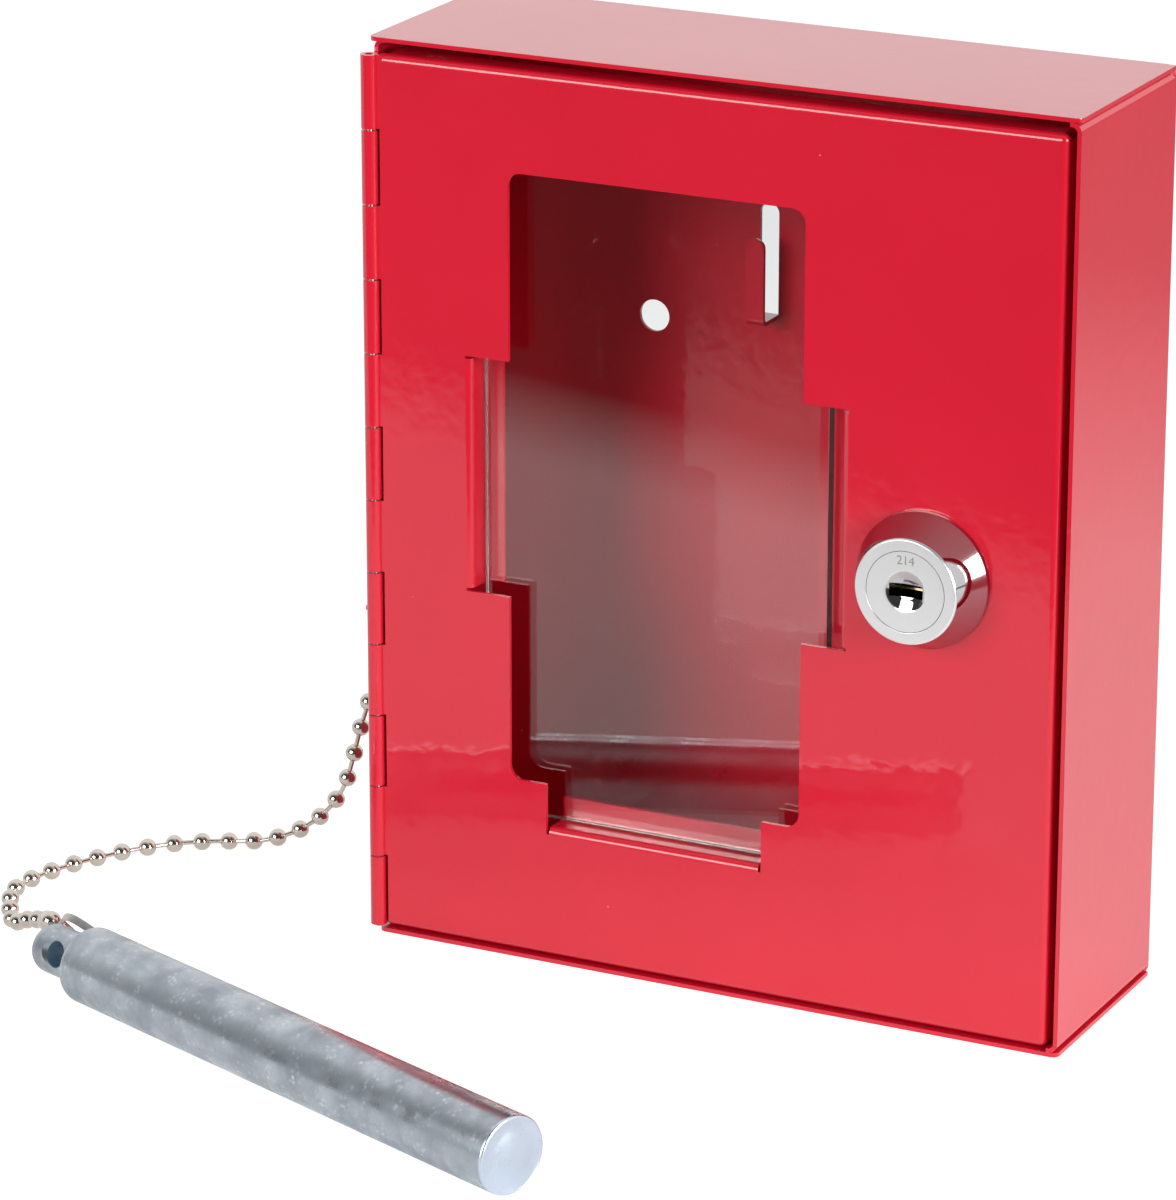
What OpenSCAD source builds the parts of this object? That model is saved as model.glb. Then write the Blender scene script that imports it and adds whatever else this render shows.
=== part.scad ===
// Emergency key box: a small sheet-steel wall case with a glazed door, a cam lock,
// and a short steel hammer on a ball chain, lying in front of the case.
// Units are millimetres. X runs to the right seen from the front, Y to the wall,
// Z up. The origin is the centre of the case's base.

/* [Case] */
// Width over the side walls
case_w = 120; // [100:1:150]
// Height over the top and bottom panels
case_h = 150; // [125:1:190]
// Depth from the door's face to the wall
case_d = 40; // [34:1:60]
// Thickness of the sheet that the case and door are folded from
sheet_t = 0.7; // [0.6:0.05:0.9]
// Outside radius of the rear folds
rear_fold_r = 1.7; // [1.2:0.1:2.2]
// Outside radius of the folds at the side walls' ends
wall_fold_r = 1.6; // [1.2:0.1:2.2]
// Reach of the ears that the side walls fold in under the panels
ear_w = 9; // [6:0.5:12]
// Distance of those ears from the case's front edge
ear_setback = 9; // [8:0.5:12]
// Radius of the panels' front corners
panel_corner_r = 1.2; // [0.5:0.1:2]

/* [Door] */
// Gap between the door and the top panel
door_gap_top = 2.0; // [1:0.1:3]
// Gap between the door and the bottom panel
door_gap_bottom = 0.5; // [0.3:0.1:1.5]
// Gap between the door's free edge and the side wall
door_gap_side = 1.35; // [1:0.05:2]
// Outside radius of the door's folds
door_fold_r = 1.2; // [1:0.1:1.6]
// Depth of the door's top and bottom flanges
door_rim_d = 4.6; // [3:0.2:5]
// Depth of the flange at the door's free edge
door_side_d = 6.4; // [5:0.2:8]
// Width of the return at the back of that flange
door_return_w = 6.2; // [4:0.2:8]

/* [Hinge] */
// Number of rolled knuckles, shared by the door and the case in turn
knuckle_n = 12; // [8:2:16]
// Diameter of the hinge pin
pin_d = 1.2; // [1:0.1:1.6]
// End gap between two knuckles
knuckle_gap = 0.3; // [0.2:0.05:0.5]

/* [Window] */
// Width of the window
window_w = 51; // [40:1:56]
// Height of the window
window_h = 100.3; // [80:1:104]
// Height of the window's centre above the base
window_z = 80.75; // [76:0.5:84]
// Sideways place of the window's centre
window_x = -10.1; // [-13:0.5:-8]
// Radius of the window's corners
window_r = 2.3; // [1:0.1:4]
// Height of the two side notches
notch_h = 39; // [30:1:50]
// Distance between the two side tabs
tab_span = 64; // [62:0.5:66]
// Width of the bottom notch
shelf_w = 38; // [28:1:44]
// Drop from the window's lower edge to the shelf
shelf_drop = 7.3; // [5:0.1:9]
// Hold of the left lip, the right lip and the bottom lip behind the glass
lip_hold = [2.9, 5.9, 3.6];

/* [Glass] */
// Width of the pane
glass_w = 60; // [58:0.5:62]
// Height of the pane
glass_h = 113; // [106:1:115]
// Thickness of the pane
glass_t = 2; // [1.5:0.1:2.2]
// Depth of the pane's front face behind the door's face
glass_depth = 3.7; // [3:0.1:4]

/* [Lock] */
// Sideways place of the lock
lock_x = 36; // [34:0.5:38]
// Height of the lock above the base
lock_z = 75; // [60:1:90]
// Diameter of the head where it meets the door
head_d = 22; // [20:0.5:24]
// Diameter of the head's flat front
head_face_d = 16.5; // [15:0.1:18]
// Height of the head
head_h = 7.2; // [5:0.1:9]
// Diameter of the threaded barrel
barrel_d = 18.6; // [17:0.1:19]
// Width over the barrel's two flats
barrel_flats = 16.2; // [15:0.1:17]
// Length of the barrel behind the door's face
barrel_len = 12.5; // [11:0.5:14]
// Diameter of the plug's face
plug_d = 12.9; // [12:0.1:13.4]
// Diameter of the plug's body
plug_body_d = 11.8; // [10:0.1:12]
// Reach of the cam from the lock's axis
cam_reach = 20.5; // [17.5:0.5:21]
// Thickness of the cam
cam_t = 1.5; // [1:0.1:2]

/* [Wall fixing and key hook] */
// Diameter of the two screw holes in the back
screw_hole_d = 5.3; // [4:0.1:6]
// Distance between the screw holes
screw_hole_span = 57.6; // [40:0.2:80]
// Height of the screw holes
screw_hole_z = 99; // [80:1:110]
// Sideways place of the key hook
hook_x = -8.4; // [-20:0.2:20]
// Width of the key hook
hook_w = 3.1; // [2.5:0.1:4]
// Height of the key hook's foot
hook_z = 101.8; // [90:0.2:110]
// Reach of the hook out of the back
hook_reach = 5.5; // [5.2:0.1:7]
// Height of the hook
hook_h = 14.4; // [10:0.2:16]

/* [Hammer] */
// Diameter of the hammer
hammer_d = 12.5; // [10:0.5:14]
// Length of the hammer's thick part
hammer_len = 102; // [90:0.5:110]
// Diameter of the hammer's neck
neck_d = 8.0; // [7.4:0.1:9]
// Length of the hammer's neck
neck_len = 10.9; // [9:0.1:13]
// Diameter of the cross hole in the neck
neck_hole_d = 4.2; // [4:0.1:4.6]

/* [Ball chain] */
// Diameter of the chain's balls
ball_d = 3.0; // [2.4:0.1:3.2]

/* [Hidden] */
$fn = 64;

eps = 0.01;
fit_gap = 0.05;
slide_gap = 0.3;
front_y = -case_d / 2;
rear_y = case_d / 2;
half_w = case_w / 2;
inner_half = half_w - sheet_t;
inner_rear = rear_y - sheet_t;
weld_w = 0.3;

door_lo = sheet_t + door_gap_bottom;
door_hi = case_h - sheet_t - door_gap_top;
door_right = inner_half - door_gap_side;
door_h = door_hi - door_lo;

pin_bore_d = pin_d + 2 * fit_gap;
knuckle_r = pin_bore_d / 2 + sheet_t;
pin_x = -half_w;
pin_y = front_y + 0.2;
pin_recess = 1.2;
pitch = door_h / knuckle_n;
door_left = pin_x + knuckle_r + 0.5;
wall_setback = knuckle_r + 0.6;
rim_left = pin_x + 3;

window_lo = window_z - window_h / 2;
tab_left = window_x - tab_span / 2;
tab_right = window_x + tab_span / 2;
shelf_z = window_lo - shelf_drop;
tab_relief = 0.5;
fold_in = door_fold_r - sheet_t;
lip_depth = glass_depth + glass_t + slide_gap;
glass_left = tab_left + slide_gap;
glass_lo = shelf_z + 0.2;

washer_t = 0.6;
nut_t = 3;
nut_flats = 22;
plug_face_h = 3.1;
head_rim_h = 0.9;
stop_t = 0.75;
stop_hub_r = 6.6;
stop_arm_r = 8;
stop_arm = 20;
stop_rim_r = 7;
stop_open = [78, 192];
dish_r = 7.26;
dish_depth = 0.95;
cam_hub_r = 7.6;
cam_w = 11;
stud_w = 6.6;
stop_y = barrel_len + 0.1;
cam_y = stop_y + stop_t + fit_gap;
cam_washer_t = 0.65;
cam_washer_y = cam_y + cam_t + fit_gap;
screw_head_y = cam_washer_y + cam_washer_t + fit_gap;
screw_d = 3.8;
screw_head_d = 7.8;
screw_head_h = 1.9;
screw_tip_y = 8.8;
wafer_ys = [-2.6, -0.1, 2.4, 4.9];
wafer_t = 0.8;
wafer_half_z = 2.5;
wafer_half_x = 4.7;
wafer_ear = [1.6, 0.6, 4.2];
keyway = [5.6, 2.1];
keyway_end = 7.6;
spring_d = 1.3;
spring_wire = 0.36;
spring_pitch = 0.32;
spring_len = 7 * spring_pitch + spring_wire + fit_gap;
spring_z = 3.55;

strike_t = 1;
strike_reach = 8.8;
strike_h = 18;
strike_base = 13;
strike_y = cam_y - slide_gap - strike_t;

neck_hole_at = 4.0;
neck_hole_tilt = 20;
shoulder_r = 1.5;
tip_r = 2.6;
end_chamfer = 0.4;
hammer_turn = -21.1;
drawn_half_w = 60;
wall_shift = drawn_half_w - half_w;
hammer_at = [-87.2 + wall_shift, -66.9, hammer_d / 2];
loop_wire = 0.9;

bracket_t = 0.8;
bracket_w = 4.6;
bracket_h = 12;
rivet_d = 1.8;
rivet_head_r = 2.1;
rivet_zs = [3.8, 8.7];
bracket_hole_d = 1.9;
chain_top = [-71.5 + wall_shift, 3, 42];
upper_clasp_h = 5;
bracket_z = chain_top[2] + upper_clasp_h + slide_gap;
bracket_reach = -half_w - chain_top[0] + 1.6;
clasp_stem_r = 0.8;
clasp_cap_r = 1.8;
clasp_at = [-99.7 + wall_shift, -57.9, 8];
clasp_half = 2.5;
clasp_r = 1.7;

// The chain's middle line, from the upper clasp down to the table and round to
// the hammer. The last point stops just short of the lower clasp. Chain and hammer
// move along with the left wall when the case gets wider.
chain_route = concat([chain_top], [for (p = [
    [-71.5, 3, 38.5], [-72.6, 2.6, 34], [-73.9, 2, 29.5],
    [-75.1, 1.6, 25.2], [-76.2, 1.3, 20.6], [-77.6, 1.1, 16], [-80, 1, 11.9],
    [-83.6, 0.9, 8.2], [-88, 0.7, 5.3], [-93, 0.4, 3.3], [-98, 0.2, 2.3],
    [-102.4, -0.6, 1.8], [-106, -2.7, 1.7], [-109.4, -5.9, 1.7], [-112.4, -9.6, 1.7],
    [-115, -13.8, 1.7], [-117.4, -18.4, 1.7], [-119.4, -23.4, 1.7],
    [-120.8, -28.6, 1.7], [-121.1, -33.6, 1.7], [-119.4, -38.4, 1.7],
    [-117, -42.4, 1.7], [-114.5, -45.9, 1.7], [-111.9, -48.8, 2.4], [-108.8, -51.2, 4.2],
    [-105.3, -53.8, 5.8], [-102.4, -55.9, 7.1]]) p + [wall_shift, 0, 0]]);

module at_lock() translate([lock_x, front_y, lock_z]) rotate([-90, 0, 0]) children();

// A block in the plan, with its two rear corners round.
module plan_block(half, y0, y1, r) {
    translate([-half, y0]) square([2 * half, y1 - r - y0]);
    translate([-half + r, y0]) square([2 * (half - r), y1 - y0]);
    for (s = [-1, 1]) translate([s * (half - r), y1 - r]) circle(r);
}

// A rectangle with four round corners.
module round_rect(x0, y0, x1, y1, r) {
    translate([x0 + r, y0]) square([x1 - x0 - 2 * r, y1 - y0]);
    translate([x0, y0 + r]) square([x1 - x0, y1 - y0 - 2 * r]);
    for (x = [x0 + r, x1 - r], y = [y0 + r, y1 - r]) translate([x, y]) circle(r);
}

// A quarter of a ring, the section of one fold, in the first quadrant.
module fold_section(r, t) intersection() {
    difference() {
        circle(r);
        circle(r - t);
    }
    square(r + 1);
}

// Turns a section drawn in Y and Z so that it is swept along X.
module along_x(x0, x1) translate([x0, 0, 0]) rotate([90, 0, 90])
    linear_extrude(x1 - x0) children();

// Turns a section drawn in X and Z so that it is swept along Y.
module along_y(y0, y1) translate([0, y1, 0]) rotate([90, 0, 0])
    linear_extrude(y1 - y0) children();

// The section of the two side walls, folded in at top and bottom.
module wall_section(reach) difference() {
    round_rect(-half_w, sheet_t, half_w, case_h - sheet_t, wall_fold_r);
    round_rect(-inner_half, 2 * sheet_t, inner_half, case_h - 2 * sheet_t,
               wall_fold_r - sheet_t);
    translate([-half_w + reach, 0]) square([case_w - 2 * reach, case_h]);
}

// The section of the back with the top and bottom panels.
module back_section() difference() {
    translate([0, case_h / 2]) rotate(90) mirror([0, 1])
        plan_block(case_h / 2, front_y, rear_y, rear_fold_r);
    translate([0, case_h / 2]) rotate(90) mirror([0, 1])
        plan_block(case_h / 2 - sheet_t, front_y - 1, inner_rear, rear_fold_r - sheet_t);
}

module panel(z) translate([0, 0, z]) linear_extrude(sheet_t)
    intersection() {
        round_rect(-half_w, front_y, half_w, rear_y + 5, panel_corner_r);
        translate([-half_w, front_y]) square([case_w, case_d - rear_fold_r]);
    }

// The rolled knuckles that belong to the case (start 1) or to the door (start 0),
// counted from the top.
module knuckles(start) for (i = [start:2:knuckle_n - 1])
    translate([pin_x, pin_y, door_hi - (i + 1) * pitch + knuckle_gap / 2])
        cylinder(r = knuckle_r, h = pitch - knuckle_gap);

module knuckle_zones(start, x0, x1, y0, y1) for (i = [start:2:knuckle_n - 1])
    translate([x0, y0, door_hi - (i + 1) * pitch + knuckle_gap / 2])
        cube([x1 - x0, y1 - y0, pitch - knuckle_gap]);

module pin_bore() translate([pin_x, pin_y, -1]) cylinder(d = pin_bore_d, h = case_h + 2);

// The hook is a tongue cut out of the back and bent forward and up.
module key_hook() {
    y_foot = rear_y - sheet_t;
    y_tip = y_foot - hook_reach;
    r = 1.2;
    translate([hook_x, 0, 0]) difference() {
        along_x(-hook_w / 2, hook_w / 2) {
            translate([y_tip + r, hook_z - sheet_t])
                square([y_foot - y_tip - r + sheet_t, sheet_t]);
            translate([y_tip + r, hook_z - sheet_t + r]) rotate(180) fold_section(r, sheet_t);
            translate([y_tip, hook_z - sheet_t + r]) square([sheet_t, hook_h - r]);
        }
        translate([0, y_tip - 1, hook_z - sheet_t + hook_h - hook_w / 2])
            rotate([-90, 0, 0]) difference() {
                translate([-hook_w, -hook_w, 0]) cube([2 * hook_w, hook_w, 3]);
                translate([0, 0, -1]) cylinder(d = hook_w, h = 5);
            }
    }
}

module case_shell() color([0.82, 0.10, 0.14]) difference() {
    union() {
        translate([0, 0, sheet_t + wall_fold_r])
            linear_extrude(case_h - 2 * sheet_t - 2 * wall_fold_r) difference() {
                plan_block(half_w, front_y, rear_y, rear_fold_r);
                plan_block(inner_half, front_y - 1, inner_rear, rear_fold_r - sheet_t);
            }
        along_y(front_y, rear_y - rear_fold_r) wall_section(wall_fold_r + weld_w);
        along_y(front_y + ear_setback, rear_y - rear_fold_r - 0.5) wall_section(ear_w);
        along_x(-half_w + rear_fold_r, half_w - rear_fold_r) back_section();
        panel(0);
        panel(case_h - sheet_t);
        key_hook();
    }
    translate([-half_w - 1, front_y - 1, sheet_t])
        cube([wall_fold_r + weld_w + 1.1, wall_setback + 1, case_h - 2 * sheet_t]);
    for (s = [-1, 1]) translate([s * screw_hole_span / 2, rear_y + 1, screw_hole_z])
        rotate([90, 0, 0]) cylinder(d = screw_hole_d, h = sheet_t + 2);
    translate([hook_x - hook_w / 2 - 0.1, inner_rear - eps, hook_z])
        cube([hook_w + 0.2, sheet_t + 1, hook_h + hook_reach - 1]);
}

// The case with its knuckles rolled out of the left wall's front edge.
module case_with_knuckles() color([0.82, 0.10, 0.14]) {
    case_shell();
    difference() {
        union() {
            knuckles(1);
            knuckle_zones(1, -half_w, -inner_half, pin_y + pin_bore_d / 2,
                          front_y + wall_setback + 0.5);
        }
        pin_bore();
    }
}

// An angle bracket on the right wall, which the turned cam closes behind.
module lock_strike() color([0.75, 0.76, 0.78]) {
    z0 = lock_z - strike_h / 2;
    translate([inner_half - strike_t, front_y + strike_y, z0])
        cube([strike_t, strike_base, strike_h]);
    translate([inner_half - strike_reach, front_y + strike_y, z0])
        cube([strike_reach, strike_t, strike_h]);
}

module hinge_pin() color([0.80, 0.81, 0.82])
    translate([pin_x, pin_y, door_lo - 0.3]) cylinder(d = pin_d, h = door_h - pin_recess);

// The door's face, with its folds at the top, the bottom and the free edge.
module door_pan() {
    r = door_fold_r;
    y0 = front_y;
    translate([door_left, y0, door_lo + r])
        cube([door_right - r - door_left, sheet_t, door_h - 2 * r]);
    for (top = [0, 1]) {
        z_axis = top ? door_hi - r : door_lo + r;
        z_rim = top ? door_hi - sheet_t : door_lo;
        translate([0, y0 + r, z_axis]) along_x(door_left, door_right - r)
            mirror([1, 0]) mirror([0, top ? 0 : 1]) fold_section(r, sheet_t);
        translate([rim_left, y0 + r, z_rim])
            cube([door_right - r - rim_left, door_rim_d - r, sheet_t]);
        translate([door_right - r, y0 + r, z_axis]) intersection() {
            difference() {
                sphere(r);
                sphere(r - sheet_t);
            }
            translate([0, -r, top ? 0 : -r]) cube(r);
        }
    }
    translate([door_right - r, y0 + r, door_lo + r])
        linear_extrude(door_h - 2 * r) mirror([0, 1]) fold_section(r, sheet_t);
    translate([door_right - sheet_t, y0 + r, door_lo + r])
        cube([sheet_t, door_side_d - 2 * r, door_h - 2 * r]);
    translate([door_right - r, y0 + door_side_d - r, door_lo + r])
        linear_extrude(door_h - 2 * r) fold_section(r, sheet_t);
    translate([door_right - door_return_w, y0 + door_side_d - sheet_t, door_lo + r])
        cube([door_return_w - r, sheet_t, door_h - 2 * r]);
}

// The section of one tab and lip, drawn with the window to its right: the face
// ends at x = 0, and the tab's window side is at x = door_fold_r.
module tab_section(hold) {
    r = door_fold_r;
    translate([0, r]) mirror([0, 1]) fold_section(r, sheet_t);
    translate([r - sheet_t, r]) square([sheet_t, lip_depth - fold_in - r]);
    translate([r + fold_in, lip_depth - fold_in]) mirror([1, 0])
        fold_section(r, sheet_t);
    translate([r + fold_in, lip_depth]) square([hold - fold_in, sheet_t]);
}

module window_cut() {
    translate([0, front_y + sheet_t + 1, 0]) rotate([90, 0, 0])
        linear_extrude(sheet_t + 2) {
            round_rect(window_x - window_w / 2, window_lo, window_x + window_w / 2,
                       window_lo + window_h, window_r);
            translate([tab_left - door_fold_r, window_z - notch_h / 2])
                square([tab_span + 2 * door_fold_r, notch_h]);
            translate([window_x - shelf_w / 2, shelf_z - door_fold_r])
                square([shelf_w, shelf_drop + door_fold_r + window_h / 2]);
        }
}

module glass_tabs() {
    side_lo = window_z - notch_h / 2 + tab_relief;
    side_len = notch_h - 2 * tab_relief;
    translate([tab_left - door_fold_r, front_y, side_lo])
        linear_extrude(side_len) tab_section(lip_hold[0]);
    translate([tab_right + door_fold_r, front_y, side_lo])
        linear_extrude(side_len) mirror([1, 0]) tab_section(lip_hold[1]);
    shelf_half = shelf_w / 2 - tab_relief;
    translate([0, front_y, shelf_z - door_fold_r])
        along_x(window_x - shelf_half, window_x + shelf_half)
            rotate(90) mirror([0, 1]) tab_section(lip_hold[2]);
}

// A round hole with two flats, which keeps the lock from turning in the door.
module barrel_section(grow) intersection() {
    circle(d = barrel_d + 2 * grow);
    square([barrel_d + 2, barrel_flats + 2 * grow], center = true);
}

module door_panel() color([0.84, 0.12, 0.17]) {
    difference() {
        union() {
            door_pan();
            knuckles(0);
            knuckle_zones(0, pin_x + knuckle_r - sheet_t, door_left + 0.5, front_y,
                          front_y + sheet_t);
        }
        pin_bore();
        window_cut();
        at_lock() translate([0, 0, -1]) linear_extrude(sheet_t + 2) barrel_section(0.1);
    }
    glass_tabs();
}

module glass_pane() color([0.80, 0.88, 0.86, 0.35])
    translate([glass_left, front_y + glass_depth, glass_lo]) cube([glass_w, glass_t, glass_h]);

// The lock's outer part: a cone-shaped head and a barrel through the door, with
// two flats and, at its end, a rim that stops the plug after a quarter turn.
module lock_housing() color([0.80, 0.81, 0.83]) at_lock() difference() {
    union() {
        rotate_extrude() polygon([
            [0, 0], [head_d / 2, 0], [head_d / 2, -head_rim_h],
            [head_face_d / 2 + 0.25, -head_h + 0.25], [head_face_d / 2, -head_h],
            [0, -head_h]]);
        linear_extrude(barrel_len) barrel_section(0);
        translate([0, 0, barrel_len - eps]) linear_extrude(stop_t + eps) difference() {
            barrel_section(0);
            circle(r = stop_rim_r);
            polygon([[0, 0], for (a = [stop_open[0]:6:stop_open[1]])
                                 barrel_d * [cos(a), -sin(a)]]);
        }
    }
    translate([0, 0, -head_h - 1]) cylinder(d = plug_d + 0.16, h = plug_face_h + 1.1);
    translate([0, 0, -head_h]) cylinder(d = plug_body_d + 0.16, h = head_h + barrel_len + 2);
}

module lock_tooth_washer() color([0.70, 0.71, 0.73]) at_lock()
    translate([0, 0, sheet_t + fit_gap]) linear_extrude(washer_t) difference() {
        circle(d = barrel_d + 5);
        circle(d = barrel_d + 0.1);
        for (i = [0:11]) rotate(i * 30) translate([barrel_d / 2 + 1.7, -0.6]) square([3, 1.2]);
    }

module lock_nut() color([0.76, 0.77, 0.79]) at_lock()
    translate([0, 0, sheet_t + washer_t + 2 * fit_gap]) difference() {
        rotate(30) cylinder(d = nut_flats / cos(30), h = nut_t, $fn = 6);
        translate([0, 0, -1]) cylinder(d = barrel_d + 0.1, h = nut_t + 2);
    }

// Everything that one wafer needs cut out of the plug.
module wafer_room(y) {
    translate([-plug_d / 2, -wafer_half_z - 0.1, y - 0.1])
        cube([plug_d, 2 * wafer_half_z + 0.2, wafer_t + 0.2]);
    translate([-wafer_ear[0] - 0.1, -wafer_ear[2] - 0.1, y - 0.1])
        cube([wafer_ear[0] + 0.5, wafer_ear[2], wafer_t + 0.2]);
    translate([-wafer_ear[1], -spring_z, y + wafer_t / 2]) rotate([0, 90, 0])
        cylinder(d = spring_d + 0.2, h = spring_len + 0.1);
}

module lock_plug() color([0.80, 0.80, 0.80]) at_lock() difference() {
    union() {
        translate([0, 0, -head_h + 0.05]) cylinder(d = plug_d, h = plug_face_h - 0.15);
        translate([0, 0, -head_h + plug_face_h - 0.2])
            cylinder(d = plug_body_d, h = head_h + barrel_len - plug_face_h + 0.2);
        translate([-stud_w / 2, -stud_w / 2, barrel_len - eps])
            cube([stud_w, stud_w, cam_y + cam_t - barrel_len]);
    }
    translate([0, 0, -head_h - dish_r + dish_depth]) sphere(dish_r);
    translate([-keyway[0] / 2, -keyway[1] / 2, -head_h - 1])
        cube([keyway[0], keyway[1], head_h + keyway_end + 1]);
    for (y = wafer_ys) wafer_room(y);
    translate([0, 0, screw_tip_y - 0.3]) cylinder(d = screw_d + 0.08, h = 12);
}

module lock_wafers() color([0.80, 0.66, 0.34]) at_lock() for (y = wafer_ys)
    translate([0, 0, y]) linear_extrude(wafer_t) difference() {
        union() {
            square([2 * wafer_half_x, 2 * wafer_half_z], center = true);
            translate([-wafer_ear[0], -wafer_ear[2]])
                square([wafer_ear[0] - wafer_ear[1], wafer_ear[2]]);
        }
        square([keyway[0] + 0.1, keyway[1] + 0.3], center = true);
    }

// Small close-wound springs, each drawn as rings side by side.
module wafer_springs() color([0.72, 0.73, 0.75]) at_lock() for (y = wafer_ys)
    translate([-wafer_ear[1] + 0.05, -spring_z, y + wafer_t / 2]) rotate([0, 90, 0])
        rotate_extrude($fn = 32) for (i = [0:7])
            translate([(spring_d - spring_wire) / 2, spring_wire / 2 + i * spring_pitch])
                circle(d = spring_wire, $fn = 16);

module stop_washer() color([0.74, 0.75, 0.77]) at_lock() translate([0, 0, stop_y])
    linear_extrude(stop_t - 0.05) difference() {
        union() {
            circle(r = stop_hub_r);
            intersection() {
                circle(r = stop_arm_r);
                polygon([[0, 0], for (a = [-1:1]) 2 * stop_arm_r * [sin(a * stop_arm / 2),
                                                                    -cos(a * stop_arm / 2)]]);
            }
        }
        square(stud_w + 0.1, center = true);
    }

// The cam hangs down while the lock is open, and swings out to the right.
module lock_cam() color([0.78, 0.79, 0.81]) at_lock() translate([0, 0, cam_y])
    linear_extrude(cam_t) difference() {
        union() {
            circle(r = cam_hub_r);
            translate([-cam_w / 2, 0]) square([cam_w, cam_reach - cam_w / 2]);
            translate([0, cam_reach - cam_w / 2]) circle(d = cam_w);
        }
        square(stud_w + 0.1, center = true);
    }

module cam_washer() color([0.68, 0.69, 0.71]) at_lock() translate([0, 0, cam_washer_y])
    linear_extrude(cam_washer_t) difference() {
        circle(d = screw_head_d + 1.6);
        circle(d = screw_d + 0.3);
        rotate(40) translate([0, -0.3]) square([8, 0.6]);
    }

module cam_screw() color([0.78, 0.79, 0.80]) at_lock() difference() {
    union() {
        translate([0, 0, screw_tip_y]) cylinder(d = screw_d, h = screw_head_y - screw_tip_y + eps);
        translate([0, 0, screw_head_y]) cylinder(d = screw_head_d, h = screw_head_h);
    }
    for (a = [0, 90]) rotate(a) translate([-2.2, -0.5, screw_head_y + screw_head_h - 1.1])
        cube([4.4, 1, 2]);
}

// A bent lug on the left wall that carries the chain.
module chain_bracket() color([0.80, 0.12, 0.16]) {
    y0 = chain_top[1] - bracket_w / 2;
    difference() {
        union() {
            translate([-half_w - bracket_t, y0, bracket_z])
                cube([bracket_t, bracket_w, bracket_h]);
            translate([-half_w - bracket_reach, y0, bracket_z])
                cube([bracket_reach, bracket_w, bracket_t]);
        }
        translate([chain_top[0], chain_top[1], bracket_z - 1])
            cylinder(d = bracket_hole_d, h = bracket_t + 2);
        for (z = rivet_zs) translate([-half_w + 1, chain_top[1], bracket_z + z])
            rotate([0, -90, 0]) cylinder(d = rivet_d + 2 * fit_gap, h = 3);
    }
}

// Two dome rivets that hold the lug.
module bracket_rivets() color([0.80, 0.81, 0.82]) for (z = rivet_zs)
    translate([-half_w - eps, chain_top[1], bracket_z + z]) rotate([0, -90, 0]) {
        cylinder(d = rivet_d, h = bracket_t + fit_gap + eps);
        translate([0, 0, bracket_t + fit_gap]) intersection() {
            translate([0, 0, -rivet_head_r / 2]) sphere(rivet_head_r);
            cylinder(r = rivet_head_r, h = rivet_head_r);
        }
    }

// A clasp whose head rests on the lug and whose bell holds the chain's last ball.
module upper_clasp() color([0.80, 0.79, 0.76]) translate(chain_top) {
    cylinder(r = clasp_r, h = upper_clasp_h - 1);
    translate([0, 0, upper_clasp_h - 1]) cylinder(r1 = clasp_r, r2 = clasp_stem_r, h = 1);
    cylinder(r = clasp_stem_r, h = upper_clasp_h + bracket_t + slide_gap + 0.2);
    translate([0, 0, upper_clasp_h + bracket_t + slide_gap]) cylinder(r = clasp_cap_r, h = 1);
}

function unit(v) = v / norm(v);
function cut(i, n) = max(0, min(n - 1, i));
// A point on the smooth curve through the points p, at place t counted in points.
function spline(p, t) =
    let (n = len(p), i = cut(floor(t), n - 1), u = t - i,
         a = p[cut(i - 1, n)], b = p[i], c = p[cut(i + 1, n)], d = p[cut(i + 2, n)])
    0.5 * (2 * b + (c - a) * u + (2 * a - 5 * b + 4 * c - d) * u * u
           + (3 * b - a - 3 * c + d) * u * u * u);

// A round tube swept along the points q. The vector side lies along no stretch of it.
module tube(q, r, sides, side) {
    n = len(q);
    ring = [for (i = [0:n - 1]) let (
        t = unit(q[cut(i + 1, n)] - q[cut(i - 1, n)]),
        s = unit(cross(t, side)),
        w = cross(t, s))
        [for (k = [0:sides - 1]) q[i] + r * (cos(k * 360 / sides) * s
                                             + sin(k * 360 / sides) * w)]];
    points = [for (g = ring) for (p = g) p];
    faces = [[for (k = [0:sides - 1]) k],
             for (i = [0:n - 2]) for (k = [0:sides - 1]) let (j = (k + 1) % sides)
                 [i * sides + k, (i + 1) * sides + k, (i + 1) * sides + j, i * sides + j],
             [for (k = [sides - 1:-1:0]) (n - 1) * sides + k]];
    polyhedron(points, faces);
}

module ball_chain() color([0.78, 0.77, 0.74])
    tube(chain_route, ball_d / 2, 8, [1, 0, -1]);

// The clasp at the hammer's end of the chain, in line with the chain there.
clasp_dir = unit(clasp_at - chain_route[len(chain_route) - 2]);
module lower_clasp() color([0.78, 0.77, 0.74]) {
    reach = clasp_half - clasp_r;
    plan = atan2(clasp_dir[1], clasp_dir[0]);
    translate(clasp_at) rotate([0, 0, plan]) rotate([0, acos(clasp_dir[2]), 0])
        translate([0, 0, -reach]) {
            cylinder(r = clasp_r, h = 2 * reach);
            sphere(clasp_r);
            translate([0, 0, 2 * reach]) sphere(clasp_r);
        }
}

module at_hammer() translate(hammer_at) rotate([0, 0, hammer_turn]) children();

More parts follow.
